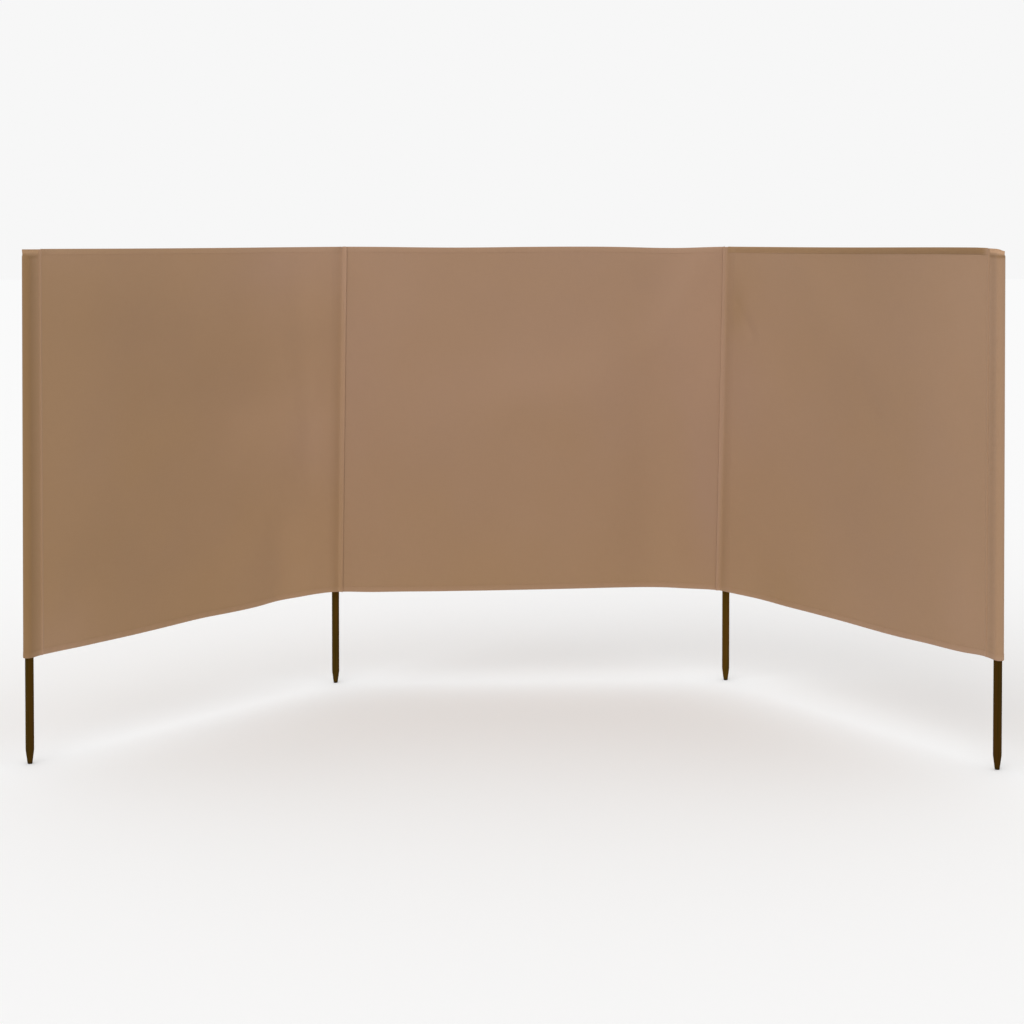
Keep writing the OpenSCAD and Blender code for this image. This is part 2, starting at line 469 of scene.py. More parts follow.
poles = {}
for number, place in enumerate(PLACES):
    body = place.replace("outer_", "") + "_bay" if place.startswith("outer") else "centre_bay"
    poles[place] = turn_pole(place + "_stake", POLE[place], number, LIGHTNESS[place])
    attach(poles[place], body)
    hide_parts(place + "_pole")
print("poles:", len(poles), "of", round(POLE_TOP, 3), "m")

# %% [markdown]
# A sheet is easiest to think of as a line on the ground, seen from above, that is drawn up to the height of
# the cloth. So the next cells make lines out of arcs and smooth bends. Their points lie close together
# where the cloth turns and far apart where it runs on, because each point becomes a column of the mesh.

# %% Helpers for lines on the ground
LEAST_POINTS = 4


def smooth(share):
    share = np.clip(share, 0.0, 1.0)
    return share * share * (3.0 - 2.0 * share)


def hump(away):
    return np.exp(-(away**2))


def arc(centre, radius, first, last, step):
    count = max(LEAST_POINTS, round(abs(last - first) * radius / step) + 1)
    turn = np.linspace(first, last, count)
    return np.column_stack((centre[0] + radius * np.cos(turn), centre[1] + radius * np.sin(turn)))


def bend(first, first_way, last, last_way, step):
    count = max(LEAST_POINTS, round(math.dist(first, last) / step) + 1)
    t = np.linspace(0.0, 1.0, count)[:, None]
    ends = (2 * t**3 - 3 * t**2 + 1) * np.array(first) + (3 * t**2 - 2 * t**3) * np.array(last)
    return ends + (t**3 - 2 * t**2 + t) * np.array(first_way) + (t**3 - t**2) * np.array(last_way)


def run_of(points):
    steps = np.linalg.norm(np.diff(points, axis=0), axis=1)
    return np.concatenate(([0.0], np.cumsum(steps)))


def bow_of(x, width):
    return 4 * BOW * (x / width) * (1 - x / width)


print("line helpers ready")

# %% [markdown]
# Every pole stands in a loop of cloth. From the seam the cloth runs straight to the pole, round it, and
# straight back to the seam. At the top the two layers are sewn together, so the loop closes to a flat
# double layer, with a sloping shoulder over the end of the pole. A tube could stand for the loop, but the
# straight walls and the shut top make it look sewn. The line is made in the frame of the pole, with x
# towards the seam, and each point also gets its place in the flat top.

# %% Lay out a sleeve
LOOP_R = POLE_R + 0.9 * MM
FLARE = 4 * MM
FLAT_HALF = 0.55 * MM
FLAT_TURN = 12.0
SHORT_OF_SEAM = 1.0 * MM
LOOP_STEP = 3 * MM


def sleeve_line(reach):
    touch = math.acos(LOOP_R / reach)
    seam = np.array([reach - SHORT_OF_SEAM, 0.0])
    first = LOOP_R * np.array([math.cos(touch), -math.sin(touch)])
    wall = bend(seam, first - seam, first, first - seam, LOOP_STEP)
    turn = arc((0.0, 0.0), LOOP_R, -touch, touch - 2 * math.pi, LOOP_STEP)
    line = np.vstack((wall, turn[1:-1], wall[::-1] * (1, -1)))
    run = run_of(line) / run_of(line)[-1]
    out = 1.0 - np.abs(2.0 * run - 1.0)
    layer = np.where(run < 0.5, -1.0, 1.0) * np.clip((1.0 - out) * FLAT_TURN, 0.0, 1.0)
    flat = np.column_stack((reach - out * (reach + LOOP_R + FLARE), layer * FLAT_HALF))
    return {"line": line, "flat": flat, "out": out}


def place_sleeve(reach, pole, seam, bay):
    sleeve = sleeve_line(reach)
    ways = (bay["along"], bay["back"])
    centre = np.array([(pole - bay["start"]).dot(way) for way in ways])
    to_seam = np.array([(seam - pole).normalized().dot(way) for way in ways])
    across = np.array([-to_seam[1], to_seam[0]])
    axes = np.array([to_seam, across])
    return {**sleeve, "line": centre + sleeve["line"] @ axes, "flat": centre + sleeve["flat"] @ axes}


print("loops", [round(run_of(sleeve_line(reach)["line"])[-1], 3) for reach in (INNER_REACH, OUTER_REACH)])

# %% [markdown]
# At an inner seam the cloth of the outer bay rolls over a narrow ridge that stands forward, drops into a
# valley in front of the pole, and runs on as the bay. The ridge faces half way between the two bays. Its
# far foot hides behind the centre bay, which gives the sharp dark line beside it. At the other end the seam
# of the end sleeve is a lower, softer ridge. The ridges could be separate strips, but on the real screen
# they are the cloth itself, and one line leaves no gap when the bay folds.

# %% Lay out an outer bay
RIDGE_R = 3.8 * MM
RIDGE_OUT = 1.5 * MM
RIDGE_BACK = math.radians(95)
RIDGE_ON = math.radians(17)
RIDGE_STEP = 1.0 * MM
RIDGE_PULL = 14 * MM
VALLEY = (13 * MM, 4 * MM)
VALLEY_WAY = (12 * MM, 2 * MM)
INNER_FLANK_STEP = 1.8 * MM
VALLEY_PULL = (30 * MM, 5 * MM)
FLANK_END = 62 * MM
FLANK_WAY = (30 * MM, 1.5 * MM)
OUTER_FLANK_STEP = 4 * MM
PANEL_STEP = 9 * MM
PANEL_CLEAR = 14 * MM
END_ZONE = 12 * MM
END_STEP = 1.5 * MM
END_RIDGE = 2.6 * MM
END_RIDGE_HALF = 4.5 * MM


def end_ridge(x):
    return END_RIDGE * hump((x - WING_W) / END_RIDGE_HALF)


def wing_line(side):
    out = -math.radians(180 - FOLD[side]) / 2
    centre = RIDGE_OUT * np.array([math.cos(out), math.sin(out)])
    ridge = arc(centre, RIDGE_R, out - RIDGE_BACK, out + RIDGE_ON, RIDGE_STEP)
    off = ridge[-1] - ridge[-2]
    ridge_way = off / np.linalg.norm(off) * RIDGE_PULL
    inner_flank = bend(ridge[-1], ridge_way, VALLEY, VALLEY_WAY, INNER_FLANK_STEP)
    joining = (FLANK_END, bow_of(FLANK_END, WING_W))
    outer_flank = bend(VALLEY, VALLEY_PULL, joining, FLANK_WAY, OUTER_FLANK_STEP)
    x = np.concatenate((np.arange(FLANK_END + PANEL_STEP, WING_W - PANEL_CLEAR, PANEL_STEP),
                        np.arange(WING_W - END_ZONE, WING_W + END_STEP / 2, END_STEP)))
    panel = np.column_stack((x, bow_of(x, WING_W) - end_ridge(x)))
    return np.vstack((ridge, inner_flank[1:], outer_flank[1:], panel))


print("columns of the outer bays:", {side: len(wing_line(side)) for side in SIDES})

# %% [markdown]
# The cloth hangs between its poles with little slack, so it shows a few broad soft folds and no deep ones.
# A cloth simulation would find folds of its own, so the ones that are wanted are listed one by one. A fold
# is
# a straight crease with a rounded section: its two ends, its half width in metres, and its depth to the
# back in millimetres. Places are shares of the bay's width, from its inner or left seam, and of the cloth's
# height. A few long waves, each with its waves per metre along and up, its phase and its size, keep the
# rest from being perfectly even.

# %% Place the folds
FOLDS = {
    "left": [
        ((0.98, 0.12), (0.20, 0.62), 0.11, 7),
        ((0.85, 0.90), (0.30, 0.72), 0.09, -5),
        ((0.75, 0.05), (0.25, 0.26), 0.08, 6),
        ((0.10, 0.30), (0.16, 0.90), 0.05, 4),
        ((0.22, -0.05), (0.20, 0.25), 0.08, 12),
    ],
    "centre": [
        ((0.08, 0.38), (0.90, 0.74), 0.11, -6),
        ((0.81, -0.10), (0.80, 0.62), 0.085, 9),
        ((0.97, 1.00), (0.80, 0.70), 0.05, -3),
        ((0.10, 0.95), (0.45, 0.74), 0.08, 4),
        ((0.15, 0.02), (0.55, 0.28), 0.09, 4),
    ],
    "right": [
        ((0.04, 0.86), (0.13, 0.74), 0.025, 5),
        ((0.10, 0.12), (0.60, 0.34), 0.09, 6),
        ((0.52, 0.70), (0.62, 0.52), 0.05, 4),
        ((0.95, 0.92), (0.72, 0.28), 0.07, -4),
        ((0.30, 0.98), (0.62, 0.60), 0.08, -4),
    ],
}
FOLD_FADE = 0.3
LONG_WAVES = ((2.3, 0.7, 0.4, 1.4), (1.1, 2.1, 2.0, 1.2), (3.9, -1.7, 4.1, 0.7), (5.3, 3.1, 1.3, 0.4))


def fold_depth(name, width, x, z):
    total = np.zeros(np.broadcast(x, z).shape)
    for first, last, wide, depth in FOLDS[name]:
        from_x, from_z = first[0] * width, first[1] * HEIGHT
        way = np.array([last[0] * width - from_x, last[1] * HEIGHT - from_z])
        length = np.linalg.norm(way)
        way = way / length
        along = (x - from_x) * way[0] + (z - from_z) * way[1]
        across = (x - from_x) * -way[1] + (z - from_z) * way[0]
        fade = FOLD_FADE * length
        ends = smooth(along / fade + 0.5) * smooth((length - along) / fade + 0.5)
        total = total + depth * MM * ends * hump(across / wide)
    for wave_x, wave_z, phase, size in LONG_WAVES:
        total = total + size * MM * np.sin(2 * math.pi * (wave_x * x + wave_z * z) + phase + len(name))
    return total


print("folds:", {name: len(folds) for name, folds in FOLDS.items()})

# %% [markdown]
# Sewing gathers cloth a little: along a stitched line the thread shortens it, and the cloth beside the line
# puckers in short ripples that die out within a few centimetres. A plain sine would look like corrugated
# iron, so the phase of the ripples wanders.

# %% Pucker the cloth beside its stitching
PUCKER = 0.55 * MM
PUCKER_LENGTH = 24 * MM
PUCKER_REACH = 22 * MM
WANDER = ((2.2, 9.0, 1.0), (1.3, 23.0, 2.0))


def ripple(run, away, phase):
    wander = sum(size * np.sin(run * rate + lag * phase) for size, rate, lag in WANDER)
    return PUCKER * np.sin(2 * math.pi * run / PUCKER_LENGTH + wander) * np.exp(-np.abs(away) / PUCKER_REACH)


print("pucker", PUCKER, "over", PUCKER_LENGTH)

# %% [markdown]
# The edges of hung cloth are never quite straight: a fold lifts the foot a little, and the top sags between
# the poles. A curve could be drawn for each edge, but a few soft humps on a straight one are easier to
# tune. A hump is its place along the bay and its reach before and after, as shares of the width, and its
# height in millimetres.

# %% Let the edges hang
FOOT_LIFT = {
    "left": [(0.05, 0.05, 0.1, 4), (0.13, 0.13, 0.3, 12), (0.49, 0.09, 0.12, 4.5), (0.85, 0.12, 0.12, -2.5)],
    "centre": [(0.0, 0.06, 0.06, 4.5), (0.15, 0.2, 0.25, 2.5), (0.84, 0.4, 0.14, 13), (0.97, 0.05, 0.05, 2)],
    "right": [(0.05, 0.12, 0.20, 5.5), (0.66, 0.18, 0.20, -5), (0.99, 0.055, 0.30, 6.5)],
}
TOP_LIFT = {
    "left": [(0.55, 0.40, 0.40, -1.8)],
    "centre": [(0.30, 0.18, 0.18, -3.4), (0.87, 0.12, 0.09, -5)],
    "right": [(0.95, 0.35, 0.08, 4)],
}


def edge_lift(humps, share):
    total = np.zeros(share.shape)
    for place, before, after, lift in humps:
        reach = np.where(share < place, before, after)
        total = total + lift * MM * hump((share - place) / reach)
    return total


print("edge humps:", {name: len(FOOT_LIFT[name]) + len(TOP_LIFT[name]) for name in BAY})

# %% [markdown]
# The light and shade of the soft folds, of the seams and towards the foot are painted into the cloth's
# colour. Two attributes carry this to the material: a painted lightness, and the share of olive, which
# rises where the cloth lies in shade, given at the corners of a bay with how low it sinks. Soft patches of
# painted light and shade change both. Noise could make patches too, but not where this cloth has them. A
# patch has a place and a reach, as shares of the width and the height, and says how much lighter and rosier
# the cloth is there. A tall reach makes it a band from foot to top.

# %% Paint light and shade on the cloth
TALL = 9.0
# painted shade colour: the cloth is more olive towards the foot, where it lies in shade
OLIVE = {
    "left": (0.40, 0.78, 0.86, 0.95, 1.5),
    "centre": (0.16, 0.14, 0.70, 0.68, 2.2),
    "right": (0.42, 0.36, 0.75, 0.42, 2.0),
}
# each patch is painted light or painted shade where a fold, ridge or seam catches or loses light
PATCHES = {
    "left": [
        (0.0, 0.95, 0.007, 0.45, 0.05, 0.4),
        (0.0, 0.05, 0.007, 0.45, -0.05, 0.2),
        (0.0, 0.5, 0.3, TALL, 0.13, 0.0),
        (0.15, 0.95, 0.3, 0.1, 0.01, 0.35),
        (0.1, 0.45, 0.12, 0.14, 0.0, 0.35),
        (0.72, 0.5, 0.2, TALL, -0.025, 0.0),
        (0.7, 0.8, 0.24, 0.08, -0.03, 0.0),
        (0.48, 0.64, 0.28, 0.08, -0.03, 0.0),
        (0.12, 0.75, 0.14, 0.05, -0.035, 0.0),
        (0.22, 0.52, 0.26, 0.08, 0.03, 0.0),
        (0.42, 0.34, 0.24, 0.07, -0.015, 0.0),
        (0.77, 0.21, 0.14, 0.08, -0.03, 0.0),
        (0.95, 1.0, 0.14, 0.06, 0.03, 0.2),
        (0.62, 1.0, 0.22, 0.08, 0.035, 0.0),
        (0.94, 0.0, 0.12, 0.1, 0.035, 0.3),
        (1.0, 0.6, 0.004, TALL, 0.1, 0.35),
    ],
    "centre": [
        (0.0, 0.5, 0.2, TALL, 0.045, 0.0),
        (0.0, 0.55, 0.1, 0.4, 0.01, 0.15),
        (1.0, 0.5, 0.2, TALL, 0.045, 0.0),
        (0.98, 0.8, 0.13, 0.22, 0.07, 0.4),
        (1.0, 0.4, 0.08, 0.4, 0.02, 0.6),
        (0.8, 0.93, 0.06, 0.06, -0.03, 0.0),
        (0.55, 0.62, 0.28, 0.09, 0.035, 0.1),
        (0.78, 0.15, 0.08, 0.2, -0.02, 0.0),
    ],
    "right": [
        (0.0, 0.5, 0.007, TALL, 0.075, 0.6),
        (0.0, 0.5, 0.2, TALL, 0.035, 0.0),
        (0.05, 0.55, 0.16, 0.2, 0.025, 0.35),
        (0.05, 0.1, 0.12, 0.14, -0.02, 0.0),
        (0.62, 0.5, 0.24, TALL, -0.05, 0.0),
        (0.52, 0.62, 0.1, 0.12, -0.02, 0.0),
        (0.06, 0.82, 0.035, 0.07, -0.06, -0.3),
        (0.3, 1.0, 0.35, 0.15, -0.02, 0.0),
        (0.94, 0.84, 0.12, 0.18, 0.02, 0.1),
        (0.93, 0.12, 0.07, 0.14, 0.02, 0.1),
        (0.24, 0.03, 0.12, 0.12, -0.025, -0.25),
        (0.54, 0.04, 0.13, 0.1, 0.03, 0.1),
        (1.0, 0.6, 0.006, TALL, 0.02, 0.0),
    ],
}


def paint(name, share, rise):
    top_start, top_end, foot_start, foot_end, sink = OLIVE[name]
    drop = (1.0 - rise) ** sink
    along = np.clip(share, 0.0, 1.0)
    top = top_start + (top_end - top_start) * along
    foot = foot_start + (foot_end - foot_start) * along
    olive = top * (1.0 - drop) + foot * drop
    painted_shading = np.ones(olive.shape)
    for x, z, wide, high, lighter, rosier in PATCHES[name]:
        away = ((share - x) / wide) ** 2 + ((rise - z) / high) ** 2
        painted_shading = painted_shading + lighter * np.exp(-away)
        olive = olive - rosier * np.exp(-away)
    return olive, painted_shading


print("patches:", {name: len(patches) for name, patches in PATCHES.items()})

# %% [markdown]
# Now each line is drawn up into a sheet. Its rows lie close together at the hems and where the loops close.
# A sheet is made of parts, the bay and its loops. Every point of a part says how far it closes at the top,
# how free it is to move, how loose it hangs, how much painted pole shade it takes, and how far it follows
# the lean of a seam.

# %% Set out the rows and the parts
HEM = 18 * MM
EDGE_GAP = 0.6 * MM
LOW_ROWS = 10
LOW_ROWS_TO = 26 * MM
HIGH_ROWS = 20
HIGH_ROWS_FROM = 48 * MM
ROW_STEP = 9 * MM
CLOSE_BELOW = 1 * MM
SEWN_FLAT = 4 * MM
LABELS = ("line", "flat", "closes", "free", "loose", "band")


def row_heights():
    low = np.linspace(EDGE_GAP, LOW_ROWS_TO, LOW_ROWS)
    high = np.linspace(HEIGHT - HIGH_ROWS_FROM, HEIGHT - EDGE_GAP, HIGH_ROWS)
    count = round((high[0] - low[-1]) / ROW_STEP)
    return np.concatenate((low, np.linspace(low[-1], high[0], count + 1)[1:-1], high))


def sheet_part(lean=None, **given):
    still = np.zeros(len(given["line"]))
    follow = {side: (lean or {}).get(side, still) for side in SIDES}
    return {**dict.fromkeys(LABELS, still), "flat": given["line"], **given, "lean": follow}


ROWS = row_heights()
CLOSING = np.clip((FOOT + ROWS - POLE_TOP + CLOSE_BELOW) / (TOP - POLE_TOP - SEWN_FLAT), 0.0, 1.0)
print("rows:", len(ROWS), "of which", int((CLOSING > 0.0).sum()), "close the loops")

# %% [markdown]
# Light and shade are painted where the cloth lies on its poles: the shoulders over their ends get a painted
# highlight, the round of the right end loop a faint one, and just under the shoulders the rim gets painted
# shade. The painted pole shade fades towards the top. A second material could show this, but the three
# attributes can carry it too.

# %% Paint the highlights and shade at the shoulders
SHOULDER_HIGHLIGHT = {"left": 0.14, "centre": 0.10, "right": 0.36}
SHOULDER_FROM = 0.3
SHOULDER_SPAN = 0.4
ROUND_HIGHLIGHT = {"right": 0.03}
ROUND_FROM = 0.45
ROUND_SPAN = 0.35
RIM_SHADE = {"left": 0.3, "centre": 0.3, "right": 1.0}
RIM_DROP = 2 * MM
RIM_REACH = 5 * MM
BAND_FADE = 0.6


def paint_sheet(name, share, rise, closes, closed, loose, band):
    olive, painted_shading = paint(name, share, rise)
    # painted highlight on the shoulders and on the round of the right end loop
    painted_shading = painted_shading + SHOULDER_HIGHLIGHT[name] * smooth((closed - SHOULDER_FROM) / SHOULDER_SPAN)
    painted_shading = painted_shading + ROUND_HIGHLIGHT.get(name, 0.0) * smooth((loose - ROUND_FROM) / ROUND_SPAN)
    # painted shade on the rim just under the shoulders
    rim_shade = RIM_SHADE[name] * closes * hump((FOOT + ROWS - POLE_TOP + RIM_DROP) / RIM_REACH)
    fade = np.where(closes > 0.0, closed, BAND_FADE * rise**2)
    return {"olive": olive, "painted_shading": painted_shading, "painted_pole_shade": np.clip(band * (1.0 - fade) + rim_shade, 0.0, 1.0)}


print("rim bands", RIM_SHADE)

# %% [markdown]
# The folds and ripples push the cloth along the line's own normal, fading out towards the seams. The hem
# zone at the top leans back or forward. Near the end of the pole the loops close towards their flat top,
# and towards the foot they hang a little looser. The seams of this screen also stand a little off their
# lines and lean to the right. A lattice could bend a sheet too, but moved points stay where they are put.

# %% Shape the sheets
HEM_LEAN = {"left": 0.28, "centre": 0.07, "right": -0.30}
HEM_LEAN_FREE = 4.0
SEAM_SHIFT = {"left": 10.5 * MM, "right": -2.5 * MM}
SEAM_LEAN = {"left": 8.5 * MM, "right": 11 * MM}
LOOSE_FOOT = 5 * MM
FOOT_LIFT_FADE = 2.2
TIP_DROP = {"right": 6 * MM}


def line_normals(line):
    way = np.gradient(line, axis=0)
    way /= np.linalg.norm(way, axis=1)[:, None]
    return np.column_stack((-way[:, 1], way[:, 0]))


def push_of(name, width, x, z, free, edges):
    push = fold_depth(name, width, x, z)
    push = push + ripple(x, z - HEM, 1.0) + ripple(x, HEIGHT - HEM - z, 2.0)
    beside_seams = sum(ripple(z, x - edge, 3.0 + edge) for edge in edges)
    push = push * free + beside_seams * np.sqrt(free)
    return push + HEM_LEAN[name] * np.clip(z - HEIGHT + HEM, 0.0, None) * smooth(free * HEM_LEAN_FREE)


def shape_sheet(name, width, parts, edges):
    bay = BAY[name]
    joined = {label: np.concatenate([part[label] for part in parts]) for label in LABELS}
    line, free = joined["line"], joined["free"]
    closes, loose = joined["closes"][:, None], joined["loose"][:, None]
    x, z = line[:, 0][:, None], ROWS[None, :]
    share, rise = x / width, z / HEIGHT
    push = push_of(name, width, x, z, free[:, None], edges)
    local = line[:, None, :] + line_normals(line)[:, None, :] * push[:, :, None]
    local[:, :, 0] += LOOSE_FOOT * loose * (1.0 - rise)
    closed = closes * CLOSING
    local = local * (1.0 - closed[:, :, None]) + joined["flat"][:, None, :] * closed[:, :, None]
    ground = np.array(bay["start"]) + local @ np.array([bay["along"], bay["back"]])
    for side in SIDES:
        follow = np.concatenate([part["lean"][side] for part in parts])[:, None]
        ground[:, :, 0] += follow * (SEAM_SHIFT[side] + SEAM_LEAN[side] * (2.0 * rise - 1.0))
    top_part = edge_lift(TOP_LIFT[name], share) * smooth(2.0 * rise - 1.0)
    top_part = top_part - TIP_DROP.get(name, 0.0) * loose**4 * CLOSING
    foot_part = edge_lift(FOOT_LIFT[name], share) * smooth(1.0 - FOOT_LIFT_FADE * rise)
    points = np.dstack((ground, FOOT + z + top_part + foot_part))
    painted = paint_sheet(name, share, rise, closes, closed, loose, joined["band"][:, None])
    return {"points": points, "run": run_of(line), "painted": painted, "free": free}


print("seams lean by", SEAM_LEAN)

# %% [markdown]
# An outer bay is its panel and the loop at its end. The panel is held at both seams and free between them.
# Painted pole shade darkens the cloth beside the inner seam, on the ridge and round the end loop; it stands
# for the dark pole seen through the cloth and for the shade in the valley and beside the ridge.

# %% Put an outer bay together
SEAM_HELD = 30 * MM
SEAM_FREE = 140 * MM
END_HELD = 4 * MM
END_FREE = 120 * MM
LEAN_REACH = 0.16
INNER_SHADE = {"left": 0.30, "right": 0.24}
INNER_SHADE_AT = 26 * MM
INNER_SHADE_HALF = 15 * MM
RIDGE_SHADE = {"left": 0.5, "right": 0.2}
RIDGE_SHADE_HALF = 3 * MM
END_SHADE_AT = {"left": (0.0, 0.60, 0.90), "right": (0.0, 0.38, 0.62)}
END_SHADE = {"left": (0.0, 0.80, 1.0), "right": (0.0, 0.25, 0.0)}
CLOSE_RATE = 8


def wing_parts(side):
    line = wing_line(side)
    x, run = line[:, 0], run_of(line)
    free = smooth((x - SEAM_HELD) / SEAM_FREE) * smooth((WING_W - END_HELD - x) / END_FREE)
    # painted pole shade in the valley beside the inner seam and on the ridge
    band = INNER_SHADE[side] * hump((x - INNER_SHADE_AT) / INNER_SHADE_HALF)
    band = band + RIDGE_SHADE[side] * hump(run / RIDGE_SHADE_HALF)
    panel = sheet_part(line=line, free=free, band=band, lean={side: hump(run / LEAN_REACH)})
    loop = place_sleeve(OUTER_REACH, POLE["outer_" + side], END_SEAM[side], BAY[side])
    out = loop["out"]
    front = np.arange(len(out)) < len(out) / 2
    loop["line"][:, 1] -= np.where(front, end_ridge(loop["line"][:, 0]), 0.0)
    # painted pole shade round the end loop
    band = np.interp(out, END_SHADE_AT[side], END_SHADE[side])
    return [panel, sheet_part(closes=smooth(out * CLOSE_RATE), loose=smooth(out), band=band, **loop)]


sheets = {side: shape_sheet(side, WING_W, wing_parts(side), (WING_W,)) for side in SIDES}
print("outer sheets:", {name: sheet["points"].shape[:2] for name, sheet in sheets.items()})

# %% [markdown]
# The centre bay lies between two loops that hang behind it as tucks. It is creased beside both seams, and
# the near walls of the tucks follow the lean of their seams. Painted shade darkens the creases and the
# tucks.

# %% Put the centre bay together
EDGE_COLUMNS = np.array([1.2, 4.0, 8.0]) * MM
FIRST_COLUMN = 14 * MM
LAST_COLUMN = 12 * MM
CENTRE_FREE = 150 * MM
CREASE_SHADE = {"left": 0.12, "right": 0.50}
CREASE_HALF = 6 * MM
TUCK_SHADE = 0.7
TUCK_SHADE_RATE = 1.6
TUCK_LEAN_RATE = 2.5


def tuck(side):
    loop = place_sleeve(INNER_REACH, POLE["inner_" + side], SEAM[side], BAY["centre"])
    out = loop["out"]
    follow = {side: 1.0 - smooth(out * TUCK_LEAN_RATE)}
    # painted pole shade on the tuck
    band = TUCK_SHADE * smooth(out * TUCK_SHADE_RATE)
    return sheet_part(closes=smooth(out * CLOSE_RATE), band=band, lean=follow, **loop)


def centre_parts():
    columns = np.arange(FIRST_COLUMN, CENTRE_W - LAST_COLUMN, PANEL_STEP)
    x = np.concatenate((EDGE_COLUMNS, columns, CENTRE_W - EDGE_COLUMNS[::-1]))
    away = {"left": x, "right": CENTRE_W - x}
    free = smooth(away["left"] / CENTRE_FREE) * smooth(away["right"] / CENTRE_FREE)
    lean = {side: hump(away[side] / LEAN_REACH) for side in SIDES}
    # painted shade in the creases beside both seams
    band = sum(CREASE_SHADE[side] * hump(away[side] / CREASE_HALF) for side in SIDES)
    panel = sheet_part(line=np.column_stack((x, bow_of(x, CENTRE_W))), free=free, band=band, lean=lean)
    return [tuck("left"), panel, tuck("right")]


sheets["centre"] = shape_sheet("centre", CENTRE_W, centre_parts(), (0.0, CENTRE_W))
print("centre sheet:", sheets["centre"]["points"].shape[:2])

# %% [markdown]
# A grid primitive has the right faces already, so each sheet starts as a grid and its vertices move to
# their places. The flat cloth's own coordinates go into a UV map first, for the weave. A Solidify modifier
# gives the cloth its thickness.

# %% Helpers for cloth meshes


def cloth_mesh(name, points, across, up, painted):
    columns, rows = points.shape[:2]
    steps = (columns - 1, rows - 1)
    bm = bmesh.new()
    bmesh.ops.create_grid(bm, x_segments=steps[0], y_segments=steps[1], size=0.5)
    flat_cloth = bm.loops.layers.uv.new("flat_cloth")
    layers = {label: bm.verts.layers.float.new(label) for label in painted}
    bm.verts.index_update()
    spots = [tuple(round((vert.co[axis] + 0.5) * steps[axis]) for axis in (0, 1)) for vert in bm.verts]
    for face in bm.faces:
        face.smooth = True
        for corner in face.loops:
            column, row = spots[corner.vert.index]
            corner[flat_cloth].uv = (across[column], up[row])
    for vert, (column, row) in zip(bm.verts, spots):
        vert.co = points[column, row]
        for label, layer in layers.items():
            vert[layer] = painted[label][column, row]
    made = mesh_object(name, bm)
    made.data.materials.append(cloth)
    return made


def thicken(piece, thickness):
    solid = piece.modifiers.new("thickness", "SOLIDIFY")
    solid.thickness = thickness
    solid.offset = 0.0
    solid.use_even_offset = True


print("cloth helpers ready")

# %% [markdown]
# The pieces of the centre bay ride on it. Those of an outer bay could ride on theirs, but the cloth would
# then tear open at the seam, so they are left in place, with their transform applied.

# %% Build the sheets
CLOTH_THICK = 0.7 * MM


def carry(piece, name):
    if name == "centre":
        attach(piece, "centre_bay")
        return
    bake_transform(piece)


cloths = {}
for name, sheet in sheets.items():
    cloths[name] = cloth_mesh(name + "_cloth", sheet["points"], sheet["run"], ROWS, sheet["painted"])
    thicken(cloths[name], CLOTH_THICK)
    carry(cloths[name], name)
for side in SIDES:
    end_nodes = ["outer_" + side + part for part in ("_sleeve", "_sleeve_top", "_seam")]
    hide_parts(side + "_panel", "inner_" + side + "_seam", *end_nodes)
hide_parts("centre_panel")
for side in SIDES:
    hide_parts("inner_" + side + "_sleeve", "inner_" + side + "_sleeve_top")
print("cloths:", {name: len(piece.data.polygons) for name, piece in cloths.items()})

# %% [markdown]
# The hems are the edges of the cloth folded over and sewn down. From the side, a hem is a narrow hairpin
# round the edge. A thicker edge on the sheet could stand for it, but then no fold would show. So each hem
# is a grid too: its columns are those of the sheet, and its rows follow the hairpin, pinched where the
# stitches pull it in. A point of the hairpin is its share of the hem's height and how far it stands out, in
# millimetres.

# %% Draw the hairpin of a hem
PINCH = (0.84, 0.80)
HAIRPIN = ((1.00, 0.80), (0.985, 0.95), (0.90, 0.95), PINCH, (0.77, 0.98), (0.55, 1.15), (0.25, 1.12),
           (0.08, 0.90), (0.02, 0.50))
FULL_HAIRPIN = [(drop, -out) for drop, out in HAIRPIN] + [(0.0, 0.0)] + list(HAIRPIN[::-1])
HAIRPIN_DROPS, HAIRPIN_OUTS = np.array(FULL_HAIRPIN).T
TAPER_COLUMNS = 5
TAPER_TO = 0.4


def sheet_normals(points):
    across = np.gradient(points, axis=0)
    up = np.gradient(points, axis=1)
    normals = np.cross(across, up)
    return normals / np.linalg.norm(normals, axis=2)[:, :, None]


def at_height(grid, z):
    row = float(np.interp(z, ROWS, np.arange(len(ROWS))))
    low = min(int(row), len(ROWS) - 2)
    return grid[:, low] * (1.0 - row + low) + grid[:, low + 1] * (row - low)


def hem_points(sheet, first, last, edge, inward, relief):
    normals = sheet_normals(sheet["points"])
    columns = np.arange(len(sheet["run"]))
    to_end = np.minimum(columns - first, last - 1 - columns) / TAPER_COLUMNS
    stand = relief * (TAPER_TO + (1.0 - TAPER_TO) * smooth(to_end))[:, None]
    heights = edge + HAIRPIN_DROPS * inward
    rows = []
    for z, out in zip(heights, HAIRPIN_OUTS):
        points = at_height(sheet["points"], z) + at_height(normals, z) * stand * out * MM
        points[:, 2] += z - np.clip(z, ROWS[0], ROWS[-1])
        rows.append(points)
    painted = {}
    for label, values in sheet["painted"].items():
        painted[label] = np.stack([at_height(values, z) for z in heights], axis=1)[first:last]
    return np.stack(rows, axis=1)[first:last], painted


print("hairpin:", len(FULL_HAIRPIN), "points")

# %% [markdown]
# The top hem of the right bay is wide and full, with painted shade along it that is darkest on its
# underside.
# The other hems were pressed flat, so they show as little more than an edge with a little painted light and
# shade; the bottom hems get a paler, rosier painted edge. A top hem stops at the loops, which are sewn flat
# by themselves. A bottom hem goes round them.

